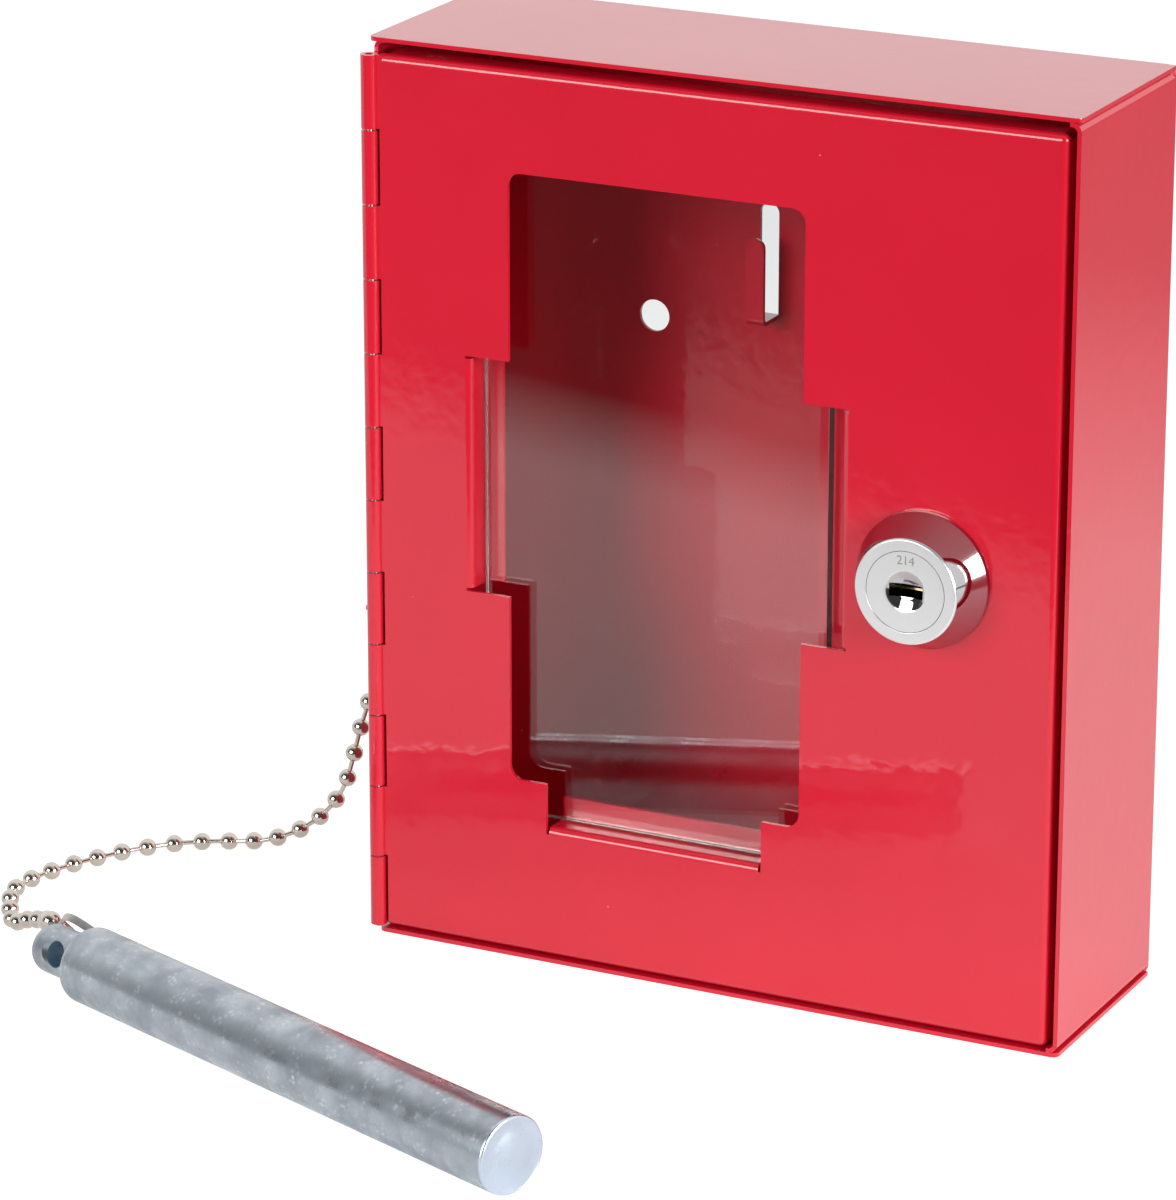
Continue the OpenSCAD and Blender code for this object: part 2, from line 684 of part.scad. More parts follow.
// A bent wire loop with both ends sprung into the neck's cross hole from behind.
module hammer_loop() color([0.62, 0.58, 0.54]) at_hammer()
    translate([-neck_hole_at, 0, 0]) {
        out = neck_d / 2 + 1.1;
        back = [out * cos(neck_hole_tilt), -out * sin(neck_hole_tilt)];
        path = [[0.85, 0.7, -0.25], [0.85, back[0], back[1]], [1.6, 5.6, 0.4],
                [0, 4.9, 2.4], [-5, 3.7, 4.1], [-7.8, 4, 2.3], [-5.4, 5.5, 0.4],
                [-0.85, back[0], back[1]], [-0.85, 0.7, -0.25]];
        steps = 4 * (len(path) - 1);
        tube([for (i = [0:steps]) spline(path, i / 4)], loop_wire / 2, 8, [0.3, 1, 1]);
    }

// A turned bar with a rounded shoulder, a round-ended neck and a cross hole.
module hammer() color([0.66, 0.70, 0.74]) at_hammer() difference() {
    r = hammer_d / 2;
    neck_r = neck_d / 2;
    rotate([0, 90, 0]) rotate_extrude() {
        polygon([[0, 0], [r - shoulder_r, 0], [r - shoulder_r, shoulder_r], [r, shoulder_r],
                 [r, hammer_len - end_chamfer], [r - end_chamfer, hammer_len], [0, hammer_len]]);
        translate([r - shoulder_r, shoulder_r]) intersection() {
            circle(shoulder_r);
            translate([-1, -shoulder_r]) square([1 + shoulder_r, shoulder_r]);
        }
        polygon([[0, -neck_len], [neck_r - tip_r, -neck_len], [neck_r - tip_r, tip_r - neck_len],
                 [neck_r, tip_r - neck_len], [neck_r, 1], [0, 1]]);
        translate([neck_r - tip_r, tip_r - neck_len]) intersection() {
            circle(tip_r);
            translate([0, -tip_r]) square(tip_r);
        }
    }
    translate([-neck_hole_at, 0, 0]) rotate([90 - neck_hole_tilt, 0, 0])
        translate([0, 0, -r]) cylinder(d = neck_hole_d, h = 2 * r);
}

case_with_knuckles();  // case_shell
lock_strike();
hinge_pin();
door_panel();
glass_pane();
lock_housing();
lock_tooth_washer();
lock_nut();
lock_plug();
lock_wafers();
wafer_springs();
stop_washer();
lock_cam();
cam_washer();
cam_screw();
chain_bracket();
bracket_rivets();
upper_clasp();
ball_chain();
lower_clasp();
hammer_loop();
hammer();
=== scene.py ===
# %% [markdown]
# # A key box with a glass window
#
# The object is a small folded-steel box for a wall. Its door hangs on a rolled hinge
# and holds a pane of glass and a cam lock. A short metal hammer lies in front on a
# ball chain. The solid model comes from CAD and is the frame of this scene, so every
# piece goes exactly where the CAD says, in metres. This script adds what a camera
# sees: soft edges, enamel, plating, glass, and the separate balls of the chain.

# %% Load the frame
import math
import bpy
from mathutils import Matrix, Vector


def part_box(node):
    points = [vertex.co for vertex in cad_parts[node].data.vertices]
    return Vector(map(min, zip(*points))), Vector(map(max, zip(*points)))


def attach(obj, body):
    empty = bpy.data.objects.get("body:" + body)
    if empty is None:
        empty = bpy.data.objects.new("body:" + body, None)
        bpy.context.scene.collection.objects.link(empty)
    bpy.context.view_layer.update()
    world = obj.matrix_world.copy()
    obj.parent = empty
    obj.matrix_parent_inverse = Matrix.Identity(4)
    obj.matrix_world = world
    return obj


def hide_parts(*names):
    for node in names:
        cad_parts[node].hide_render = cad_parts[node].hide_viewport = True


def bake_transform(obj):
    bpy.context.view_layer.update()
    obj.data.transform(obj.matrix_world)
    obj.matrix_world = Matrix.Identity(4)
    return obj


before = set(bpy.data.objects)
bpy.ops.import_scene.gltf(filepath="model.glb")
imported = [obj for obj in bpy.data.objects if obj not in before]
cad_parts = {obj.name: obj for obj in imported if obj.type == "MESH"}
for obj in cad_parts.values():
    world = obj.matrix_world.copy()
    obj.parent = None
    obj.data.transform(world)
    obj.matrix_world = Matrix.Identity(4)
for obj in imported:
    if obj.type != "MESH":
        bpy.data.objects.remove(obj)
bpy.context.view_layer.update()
MM = 0.001

# %% [markdown]
# ## The camera
#
# The picture was taken from the right and from above with a long lens. The camera is
# made first. Its place was found by matching the case's corners with the picture, and
# it has no shift.

# %% Camera
CAMERA_PLACE = Vector((0.37751, -0.81452, 0.36075))
CAMERA_TARGET = Vector((-0.021577, -0.020, 0.062942))
bpy.ops.object.camera_add(location=CAMERA_PLACE)
camera = bpy.context.object
camera.name = "camera"
camera.rotation_euler = (CAMERA_TARGET - CAMERA_PLACE).to_track_quat("-Z", "Y").to_euler()
camera.data.lens = 178.05
camera.data.sensor_width = 36
camera.data.clip_start = 0.01
bpy.context.scene.camera = camera
print("camera at", list(camera.location), "lens", camera.data.lens)

# %% [markdown]
# ## Small helpers
#
# An operator in Blender acts on all that is selected, and the loaded CAD nodes are
# selected to begin with. So a piece is always picked alone first. Faces and edges are
# then picked by where they are, with a test that is given as a function.


# %% Picking pieces, faces and edges
def pick(*objects):
    """Selects only these objects. The last one is the active one."""
    if bpy.context.mode != "OBJECT":
        bpy.ops.object.mode_set(mode="OBJECT")
    bpy.ops.object.select_all(action="DESELECT")
    for one in objects:
        one.select_set(True)
    bpy.context.view_layer.objects.active = objects[-1]
    return objects[-1]


def select_faces(piece, test):
    """Opens the piece in edit mode with the faces selected that pass the test."""
    pick(piece)
    bpy.ops.object.mode_set(mode="EDIT")
    bpy.ops.mesh.select_mode(type="FACE")
    bpy.ops.mesh.select_all(action="DESELECT")
    bpy.ops.object.mode_set(mode="OBJECT")
    for face in piece.data.polygons:
        face.select = bool(test(face))
    bpy.ops.object.mode_set(mode="EDIT")


def select_edges(piece, test):
    """Opens the piece in edit mode with the edges selected whose two ends pass."""
    pick(piece)
    bpy.ops.object.mode_set(mode="EDIT")
    bpy.ops.mesh.select_mode(type="EDGE")
    bpy.ops.mesh.select_all(action="DESELECT")
    bpy.ops.object.mode_set(mode="OBJECT")
    corners = piece.data.vertices
    for edge in piece.data.edges:
        a, b = (corners[i].co for i in edge.vertices)
        edge.select = bool(test(a) and test(b))
    bpy.ops.object.mode_set(mode="EDIT")


def settle(piece):
    """Puts the piece's place into its mesh, so that its object sits at the origin."""
    pick(piece)
    bpy.ops.object.transform_apply(location=True, rotation=True, scale=True)
    return piece


def apply_modifiers(piece):
    pick(piece)
    for modifier in list(piece.modifiers):
        bpy.ops.object.modifier_apply(modifier=modifier.name)
    return piece


def smooth(piece, degrees=32):
    pick(piece)
    bpy.ops.object.shade_smooth_by_angle(angle=math.radians(degrees))
    return piece


print("helpers ready")

# %% [markdown]
# ## The ball chain
#
# The chain hangs from a lug on the left wall, runs down to the table and round to the
# hammer. Real ball chain is a row of hollow balls, each with two small holes, and a
# short pin from ball to ball. One ball and one pin are modelled, then copied along
# the same route that the CAD tube takes.

# %% The route of the chain
CHAIN_POINTS = [
    (-71.5, 3, 42), (-71.5, 3, 38.5), (-72.6, 2.6, 34), (-73.9, 2, 29.5),
    (-75.1, 1.6, 25.2), (-76.2, 1.3, 20.6), (-77.6, 1.1, 16), (-80, 1, 11.9),
    (-83.6, 0.9, 8.2), (-88, 0.7, 5.3), (-93, 0.4, 3.3), (-98, 0.2, 2.3),
    (-102.4, -0.6, 1.8), (-106, -2.7, 1.7), (-109.4, -5.9, 1.7), (-112.4, -9.6, 1.7),
    (-115, -13.8, 1.7), (-117.4, -18.4, 1.7), (-119.4, -23.4, 1.7),
    (-120.8, -28.6, 1.7), (-121.1, -33.6, 1.7), (-119.4, -38.4, 1.7),
    (-117, -42.4, 1.7), (-114.5, -45.9, 1.7), (-111.9, -48.8, 2.4), (-108.8, -51.2, 4.2),
    (-105.3, -53.8, 5.8), (-102.4, -55.9, 7.1)]
STEPS_A_POINT = 24


def on_route(points, t):
    """The point on the smooth curve through the points, at place t counted in points."""
    i = min(int(t), len(points) - 2)
    u = t - i
    a, b, c, d = (Vector(points[max(0, min(len(points) - 1, k))])
                  for k in (i - 1, i, i + 1, i + 2))
    return 0.5 * (2 * b + (c - a) * u + (2 * a - 5 * b + 4 * c - d) * u ** 2
                  + (3 * b - a - 3 * c + d) * u ** 3)


chain_line = [on_route(CHAIN_POINTS, k / STEPS_A_POINT) * MM
              for k in range((len(CHAIN_POINTS) - 1) * STEPS_A_POINT + 1)]
chain_run = [0.0]
for before, after in zip(chain_line, chain_line[1:]):
    chain_run.append(chain_run[-1] + (after - before).length)
print("chain length", round(chain_run[-1], 4), "m")


def along_chain(distance):
    """The place on the chain's middle line, and its direction there."""
    k = next(i for i, run in enumerate(chain_run) if run >= distance or i == len(chain_run) - 1)
    k = max(1, k)
    step = chain_line[k] - chain_line[k - 1]
    share = (distance - chain_run[k - 1]) / max(step.length, 1e-9)
    return chain_line[k - 1] + share * step, step.normalized()


# %% One ball and one pin
BALL_R = 1.5 * MM
BALL_PITCH = 4.75 * MM
FIRST_BALL = 2.2 * MM
PIN_R = 0.4 * MM
PIN_SINK = 0.35 * MM

bpy.ops.object.select_all(action="DESELECT")
bpy.ops.mesh.primitive_uv_sphere_add(segments=24, ring_count=16, radius=BALL_R,
                                     rotation=(0, math.pi / 2, 0))
ball = settle(bpy.context.object)
for end in (-1, 1):
    select_faces(ball, lambda face: face.center.x * end > 0.955 * BALL_R)
    bpy.ops.mesh.inset(thickness=0.06 * MM, use_individual=False)
    bpy.ops.transform.translate(value=(-end * 0.22 * MM, 0, 0))
pick(ball)
bpy.ops.object.select_all(action="DESELECT")
bpy.ops.mesh.primitive_cylinder_add(vertices=14, radius=PIN_R,
                                    depth=BALL_PITCH - 2 * BALL_R + 2 * PIN_SINK,
                                    rotation=(0, math.pi / 2, 0))
link_pin = settle(bpy.context.object)
print("ball faces", len(ball.data.polygons), "pin faces", len(link_pin.data.polygons))


# %% The balls in their row
def put_along(model, distance):
    """A copy of the model with its own mesh, turned to the chain's direction there."""
    place, direction = along_chain(distance)
    turn = Vector((1, 0, 0)).rotation_difference(direction).to_matrix().to_4x4()
    copy = bpy.data.objects.new(model.name, model.data.copy())
    bpy.context.scene.collection.objects.link(copy)
    copy.matrix_world = Matrix.Translation(place) @ turn
    return copy


ball_count = int((chain_run[-1] - FIRST_BALL + 0.5 * MM) / BALL_PITCH) + 1
balls = [put_along(ball, FIRST_BALL + k * BALL_PITCH) for k in range(ball_count)]
pins = [put_along(link_pin, FIRST_BALL + (k + 0.5) * BALL_PITCH)
        for k in range(ball_count - 1)]
chain = pick(*balls, *pins)
bpy.ops.object.join()
chain.name = "chain_balls"
settle(chain)
smooth(chain, 40)
for model in (ball, link_pin):
    bpy.data.objects.remove(model)
print(ball_count, "balls, pitch", BALL_PITCH)

# %% [markdown]
# ## Sheet steel from the CAD solids
#
# The CAD nodes have the right shapes, but their meshes are loose triangles with hard
# edges. Real folded and enamelled steel has a soft edge that catches the light. So
# each node is copied, its points are merged, flat regions are joined into single
# faces, and a fine bevel rounds the sharp edges. Weighted normals keep the flat
# faces looking flat beside the bevel.


# %% A finished copy of a CAD node
def finished_copy(node, name, edge=0.0, degrees=32, segments=2):
    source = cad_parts[node]
    piece = bpy.data.objects.new(name, source.data.copy())
    bpy.context.scene.collection.objects.link(piece)
    pick(piece)
    bpy.ops.object.mode_set(mode="EDIT")
    bpy.ops.mesh.select_all(action="SELECT")
    bpy.ops.mesh.remove_doubles(threshold=0.002 * MM)
    bpy.ops.mesh.dissolve_limited(angle_limit=math.radians(0.4))
    bpy.ops.object.mode_set(mode="OBJECT")
    if edge:
        soft = piece.modifiers.new("soft edge", "BEVEL")
        soft.width = edge
        soft.segments = segments
        soft.limit_method = "ANGLE"
        soft.angle_limit = math.radians(40)
        soft.use_clamp_overlap = True
        apply_modifiers(piece)
    smooth(piece, degrees)
    weigh = piece.modifiers.new("even shading", "WEIGHTED_NORMAL")
    weigh.keep_sharp = True
    apply_modifiers(piece)
    piece.data.materials.clear()
    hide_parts(node)
    print(name, len(piece.data.polygons), "faces")
    return piece


# %% The case and the door
SHEET_EDGE = 0.12 * MM
case = finished_copy("case_shell", "case_sheet", SHEET_EDGE)
door = finished_copy("door_panel", "door_sheet", SHEET_EDGE)
strike = finished_copy("lock_strike", "strike_angle", SHEET_EDGE)
lug = finished_copy("chain_bracket", "chain_lug", 0.1 * MM)

# %% The dressed rear corners
REAR_FOLD_R = 1.7 * MM
CASE_HALF_W = 60 * MM
low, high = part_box("case_shell")
corner_balls = []
for x in (REAR_FOLD_R - CASE_HALF_W, CASE_HALF_W - REAR_FOLD_R):
    for z in (low.z + REAR_FOLD_R, high.z - REAR_FOLD_R):
        bpy.ops.object.select_all(action="DESELECT")
        bpy.ops.mesh.primitive_uv_sphere_add(segments=24, ring_count=16, radius=REAR_FOLD_R,
                                             location=(x, high.y - REAR_FOLD_R, z))
        corner_balls.append(settle(bpy.context.object))
        smooth(corner_balls[-1], 40)
pick(*corner_balls, case)
bpy.ops.object.join()
print("case with corners", len(case.data.polygons), "faces")

# %% The round end of the slot behind the hook
SLOT_X, SLOT_R = -8.4 * MM, 1.65 * MM
SLOT_TOP, SLOT_ROUND = 120.9 * MM, 118.55 * MM
SLOT_LAP = 0.3 * MM
SHEET_T = 0.7 * MM

bpy.ops.object.select_all(action="DESELECT")
bpy.ops.mesh.primitive_cube_add(
    size=1, location=(SLOT_X, high.y - SHEET_T / 2, (SLOT_TOP + SLOT_ROUND) / 2),
    scale=(2 * (SLOT_R + SLOT_LAP), SHEET_T - 0.01 * MM, SLOT_TOP - SLOT_ROUND))
slot_end = settle(bpy.context.object)
bpy.ops.object.select_all(action="DESELECT")
bpy.ops.mesh.primitive_cylinder_add(vertices=64, radius=SLOT_R, depth=3 * SHEET_T,
                                    location=(SLOT_X, high.y, SLOT_ROUND),
                                    rotation=(math.pi / 2, 0, 0))
punch = settle(bpy.context.object)
cut = slot_end.modifiers.new("round end", "BOOLEAN")
cut.operation = "DIFFERENCE"
cut.object = punch
apply_modifiers(slot_end)
bpy.data.objects.remove(punch)
smooth(slot_end, 32)
pick(slot_end, case)
bpy.ops.object.join()
print("case with slot end", len(case.data.polygons), "faces")

# %% The lock and the small fittings
SMALL_EDGE = 0.08 * MM
lock_head = finished_copy("lock_housing", "lock_head", SMALL_EDGE)
plug = finished_copy("lock_plug", "plug", 0.06 * MM)
hinge_pin = finished_copy("hinge_pin", "hinge_wire", SMALL_EDGE)
toothed_washer = finished_copy("lock_tooth_washer", "toothed_washer", 0.05 * MM)
nut = finished_copy("lock_nut", "nut", 0.15 * MM)
wafers = finished_copy("lock_wafers", "wafers", 0.03 * MM)
springs = finished_copy("wafer_springs", "springs")
stop_washer = finished_copy("stop_washer", "turn_stop", 0.05 * MM)
cam = finished_copy("lock_cam", "cam", 0.12 * MM)
cam_washer = finished_copy("cam_washer", "spring_washer", 0.05 * MM)
cam_screw = finished_copy("cam_screw", "cam_screw_head", 0.1 * MM)
rivets = finished_copy("bracket_rivets", "rivets")
upper_clasp = finished_copy("upper_clasp", "wall_clasp", 0.1 * MM)
lower_clasp = finished_copy("lower_clasp", "hammer_clasp")

# %% [markdown]
# ## The lock's head
#
# The CAD mesh of the round head has narrow flats, and a mirror finish would show them
# all. So the copy keeps only the threaded barrel behind the door, and the head is
# turned afresh: the front of a fine cylinder is drawn in to the cone, stepped in to
# the ring, and sunk to the seat of the plug.

# %% The head as it is turned
LOCK_PLACE = Vector((36, -20, 75)) * MM
RIM_R, RIM_T = 11 * MM, 0.9 * MM
CONE_R, CONE_T = 8.5 * MM, 6.05 * MM
RING_R, RING_EDGE = 8.25 * MM, 0.25 * MM
SEAT_R, SEAT_DEPTH = 6.53 * MM, 3.1 * MM
BORE_R = 5.98 * MM
LAP = 0.05 * MM

bpy.ops.object.select_all(action="DESELECT")
bpy.ops.mesh.primitive_cylinder_add(vertices=128, radius=RIM_R, depth=RIM_T,
                                    location=(0, 0, RIM_T / 2))
turned_head = settle(bpy.context.object)
select_faces(turned_head, lambda face: face.normal.z > 0.9)
for rise, wide, narrow in ((CONE_T, RIM_R, CONE_R), (RING_EDGE, CONE_R, RING_R)):
    bpy.ops.mesh.extrude_region_move(TRANSFORM_OT_translate={"value": (0, 0, rise)})
    bpy.ops.transform.resize(value=(narrow / wide, narrow / wide, 1))
bpy.ops.mesh.inset(thickness=RING_R - SEAT_R)
bpy.ops.mesh.extrude_region_move(TRANSFORM_OT_translate={"value": (0, 0, -SEAT_DEPTH)})
bpy.ops.mesh.inset(thickness=SEAT_R - BORE_R)
select_faces(turned_head, lambda face: face.normal.z < -0.9)
bpy.ops.mesh.inset(thickness=RIM_R - BORE_R)
select_faces(turned_head, lambda face: abs(face.normal.z) > 0.9 and len(face.vertices) > 100)
bpy.ops.mesh.bridge_edge_loops()
bpy.ops.object.mode_set(mode="OBJECT")
print("turned head faces", len(turned_head.data.polygons))

# %% The head on its barrel
pick(lock_head)
bpy.ops.object.mode_set(mode="EDIT")
bpy.ops.mesh.select_all(action="SELECT")
bpy.ops.mesh.bisect(plane_co=LOCK_PLACE - Vector((0, LAP, 0)), plane_no=(0, -1, 0),
                    use_fill=True, clear_outer=True)
bpy.ops.object.mode_set(mode="OBJECT")
soft = turned_head.modifiers.new("soft edge", "BEVEL")
soft.width = SMALL_EDGE
soft.segments = 3
soft.limit_method = "ANGLE"
soft.angle_limit = math.radians(15)
weigh = turned_head.modifiers.new("even shading", "WEIGHTED_NORMAL")
smooth(turned_head, 32)
apply_modifiers(turned_head)
turned_head.rotation_euler = (math.pi / 2, 0, 0)
turned_head.location = LOCK_PLACE
settle(turned_head)
pick(turned_head, lock_head)
bpy.ops.object.join()
print("lock head faces", len(lock_head.data.polygons))

# %% [markdown]
# ## The hammer
#
# The hammer is a plain turned bar with a round-ended neck. It is modelled the way it
# would be turned: a cylinder, whose one end is stepped down to the neck and rounded,
# and whose other end is faced, which leaves shallow rings. The cross hole is cut with
# a drill-shaped cutter that flares at both mouths, so its rim is broken like the real
# one.

# %% The bar and its neck
HAMMER_PLACE = Vector((-87.2, -66.9, 6.25)) * MM
HAMMER_TURN = math.radians(-21.1)
BAR_R, BAR_LEN = 6.25 * MM, 102 * MM
NECK_R, NECK_LEN = 4.0 * MM, 10.9 * MM
SHOULDER_R, TIP_R = 1.5 * MM, 2.6 * MM
END_CHAMFER = 0.4 * MM
NEAR = 0.01 * MM

bpy.ops.object.select_all(action="DESELECT")
bpy.ops.mesh.primitive_cylinder_add(vertices=96, radius=BAR_R, depth=BAR_LEN,
                                    location=(BAR_LEN / 2, 0, 0),
                                    rotation=(0, math.pi / 2, 0))
hammer = settle(bpy.context.object)
hammer.name = "hammer_bar"
select_faces(hammer, lambda face: face.normal.x < -0.9)
bpy.ops.mesh.inset(thickness=BAR_R - NECK_R)
bpy.ops.mesh.extrude_region_move(TRANSFORM_OT_translate={"value": (-NECK_LEN, 0, 0)})
select_edges(hammer, lambda p: p.x < -NECK_LEN + NEAR)
bpy.ops.mesh.bevel(offset=TIP_R, segments=12)
select_edges(hammer, lambda p: abs(p.x) < NEAR and math.hypot(p.y, p.z) > BAR_R - 0.1 * MM)
bpy.ops.mesh.bevel(offset=SHOULDER_R, segments=8)
select_edges(hammer, lambda p: p.x > BAR_LEN - NEAR)
bpy.ops.mesh.bevel(offset=END_CHAMFER, segments=3)
bpy.ops.object.mode_set(mode="OBJECT")
print("bar faces", len(hammer.data.polygons))

# %% The rings on the faced end
RING_STEPS = [(0.5, 0), (0.12, -0.05), (1.0, 0), (0.12, 0.04), (1.05, 0), (0.1, -0.05),
              (0.95, 0), (0.1, 0.04), (0.8, 0), (0.12, -0.06), (0.45, 0)]
for inward, forward in RING_STEPS:
    last = max((f for f in hammer.data.polygons
                if f.normal.x > 0.99 and len(f.vertices) > 8), key=lambda f: len(f.vertices))
    select_faces(hammer, lambda f: f.index == last.index)
    bpy.ops.mesh.inset(thickness=inward * MM)
    if forward:
        bpy.ops.transform.translate(value=(forward * MM, 0, 0))
    bpy.ops.object.mode_set(mode="OBJECT")
print("faced end, rings", len(RING_STEPS) // 2)

# %% The cross hole
HOLE_R, HOLE_AT, HOLE_TILT = 2.1 * MM, -4.0 * MM, math.radians(70)
MOUTH = 3.3 * MM

bpy.ops.object.select_all(action="DESELECT")
bpy.ops.mesh.primitive_cylinder_add(vertices=48, radius=HOLE_R, depth=2 * MOUTH)
drill = bpy.context.object
for end in (-1, 1):
    select_faces(drill, lambda face: face.normal.z * end > 0.9)
    bpy.ops.mesh.extrude_region_move(TRANSFORM_OT_translate={"value": (0, 0, end * 0.7 * MM)})
    bpy.ops.transform.resize(value=(1.3, 1.3, 1))
    bpy.ops.mesh.extrude_region_move(TRANSFORM_OT_translate={"value": (0, 0, end * 3 * MM)})
bpy.ops.object.mode_set(mode="OBJECT")
drill.rotation_euler = (HOLE_TILT, 0, 0)
drill.location = (HOLE_AT, 0, 0)
settle(drill)
cut = hammer.modifiers.new("cross hole", "BOOLEAN")
cut.operation = "DIFFERENCE"
cut.object = drill
apply_modifiers(hammer)
bpy.data.objects.remove(drill)
hammer.rotation_euler = (0, 0, HAMMER_TURN)
hammer.location = HAMMER_PLACE
settle(hammer)
smooth(hammer, 30)
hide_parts("hammer")
print("hammer faces", len(hammer.data.polygons))

# %% [markdown]
# ## The sprung strap
#
# A thin flat strap of steel is bent to a loop, and its two ends are sprung into the
# neck's hole from behind. The chain's clasp hooks over it. It is a curve with a flat
# section, made a mesh.

# %% The strap
STRAP_POINTS = [(0.85, 0.7, -0.25), (0.9, 3, -1.1), (1.2, 4.9, -1.2), (1.6, 5.5, 0.6),
                (0.2, 5.0, 2.3), (-2.6, 4.3, 3.5), (-5.0, 3.7, 4.1), (-6.7, 3.7, 3.6),
                (-7.7, 4.2, 2.2), (-6.2, 5.2, 0.6), (-2.6, 5.1, -1.0), (-0.9, 3, -1.1),
                (-0.85, 0.7, -0.25)]
STRAP_W, STRAP_T = 1.3, 0.32

section = bpy.data.curves.new("strap section", "CURVE")
section.dimensions = "2D"
outline = section.splines.new("POLY")
outline.points.add(7)
for point, (x, y) in zip(outline.points, [
        (-0.5, -0.35), (-0.46, -0.5), (0.46, -0.5), (0.5, -0.35), (0.5, 0.35),
        (0.46, 0.5), (-0.46, 0.5), (-0.5, 0.35)]):
    point.co = (x * STRAP_T * MM, y * STRAP_W * MM, 0, 1)
outline.use_cyclic_u = True
section_piece = bpy.data.objects.new("strap section", section)
bpy.context.scene.collection.objects.link(section_piece)

strap_line = bpy.data.curves.new("strap", "CURVE")
strap_line.dimensions = "3D"
strap_line.bevel_mode = "OBJECT"
strap_line.bevel_object = section_piece
strap_line.use_fill_caps = True
bend = strap_line.splines.new("POLY")
strap_steps = 6 * (len(STRAP_POINTS) - 1)
bend.points.add(strap_steps)
for k, point in enumerate(bend.points):
    place = on_route(STRAP_POINTS, k / 6) * MM + Vector((HOLE_AT, 0, 0))
    point.co = (*place, 1)
strap = bpy.data.objects.new("strap", strap_line)
bpy.context.scene.collection.objects.link(strap)
pick(strap)
bpy.ops.object.convert(target="MESH")
strap = bpy.context.object
bpy.data.objects.remove(section_piece)
strap.rotation_euler = (0, 0, HAMMER_TURN)
strap.location = HAMMER_PLACE
settle(strap)
smooth(strap, 40)
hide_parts("hammer_loop")
print("strap faces", len(strap.data.polygons))

# %% [markdown]
# ## The pane of glass
#
# The pane is cut from float glass, so its large faces are clear and its ground edges
# look green. It is a block whose long edges are beveled. The narrow faces get a
# second material for that green edge.

# %% The pane
low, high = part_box("glass_pane")
bpy.ops.object.select_all(action="DESELECT")
bpy.ops.mesh.primitive_cube_add(size=1, location=(low + high) / 2, scale=high - low)
pane = settle(bpy.context.object)
pane.name = "pane"
select_edges(pane, lambda p: True)
bpy.ops.mesh.bevel(offset=0.2 * MM, segments=2)
bpy.ops.object.mode_set(mode="OBJECT")
smooth(pane, 20)
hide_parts("glass_pane")
print("pane", [round(v / MM, 1) for v in high - low], "mm")

# %% [markdown]
# ## The number on the lock
#
# Lock plugs of this kind carry a small faint number above the keyway. It is a plain
# number here, made as text and turned into a very thin mesh on the plug's flat rim.

# %% The number
bpy.ops.object.select_all(action="DESELECT")
bpy.ops.object.text_add(location=(36 * MM, -27.15 * MM, 79.35 * MM),
                        rotation=(math.pi / 2, 0, 0))
number = bpy.context.object
number.data.body = "214"
number.data.size = 2.0 * MM
number.data.extrude = 0.015 * MM
number.data.align_x = "CENTER"
number.data.resolution_u = 3
pick(number)
bpy.ops.object.convert(target="MESH")
number = settle(bpy.context.object)
number.name = "lock_number"
print("number faces", len(number.data.polygons))

# %% [markdown]
# ## Finishes
#
# All finishes are built from nodes on the object's own coordinates, in metres, so a
# noise scale of 600 makes spots of about 1.5 mm. A value that is the same all over
# is set on the shader itself.


# %% Starting a finish
def new_finish(name, colour, metal, rough):
    finish = bpy.data.materials.new(name)
    finish.use_nodes = True
    shader = finish.node_tree.nodes["Principled BSDF"]
    shader.inputs["Base Color"].default_value = (*colour, 1)
    shader.inputs["Metallic"].default_value = metal
    shader.inputs["Roughness"].default_value = rough
    return finish, finish.node_tree.nodes, finish.node_tree.links, shader


def coordinates(nodes):
    return nodes.new("ShaderNodeTexCoord").outputs["Object"]


def spots(nodes, links, place, scale, detail=2.0, rough=0.5):
    """Soft noise on the piece's own coordinates. Gives its grey value."""
    noise = nodes.new("ShaderNodeTexNoise")
    noise.inputs["Scale"].default_value = scale
    noise.inputs["Detail"].default_value = detail
    noise.inputs["Roughness"].default_value = rough
    links.new(place, noise.inputs["Vector"])
    return noise.outputs["Fac"]


def remap(nodes, links, value, low_in, high_in, low_out, high_out):
    span = nodes.new("ShaderNodeMapRange")
    for socket, number_in in zip(("From Min", "From Max", "To Min", "To Max"),
                                 (low_in, high_in, low_out, high_out)):
        span.inputs[socket].default_value = number_in
    links.new(value, span.inputs["Value"])
    return span.outputs["Result"]


def two_colours(nodes, links, value, first, second):
    mix = nodes.new("ShaderNodeMix")
    mix.data_type = "RGBA"
    mix.inputs["A"].default_value = (*first, 1)
    mix.inputs["B"].default_value = (*second, 1)
    links.new(value, mix.inputs["Factor"])
    return mix.outputs["Result"]


def sum_of(nodes, links, operation, first, second):
    """One step of arithmetic. Each side is a socket or a plain number."""
    step = nodes.new("ShaderNodeMath")
    step.operation = operation
    for socket, value in zip(step.inputs, (first, second)):
        if isinstance(value, (int, float)):
            socket.default_value = value
        else:
            links.new(value, socket)
    return step.outputs["Value"]


def bump(nodes, links, shader, height, strength, distance, below=None):
    rise = nodes.new("ShaderNodeBump")
    rise.inputs["Strength"].default_value = strength
    rise.inputs["Distance"].default_value = distance
    links.new(height, rise.inputs["Height"])
    if below is not None:
        links.new(below, rise.inputs["Normal"])
    links.new(rise.outputs["Normal"], shader.inputs["Normal"])
    return rise.outputs["Normal"]


print("finish helpers ready")

# %% [markdown]
# ### Red enamel
#
# Powder enamel is a deep red under a clear glossy skin. Close up, the skin has the
# fine dimples called orange peel, and a few specks of dust are baked into it. A
# second, very broad wave stands for the slight bowing of thin sheet.

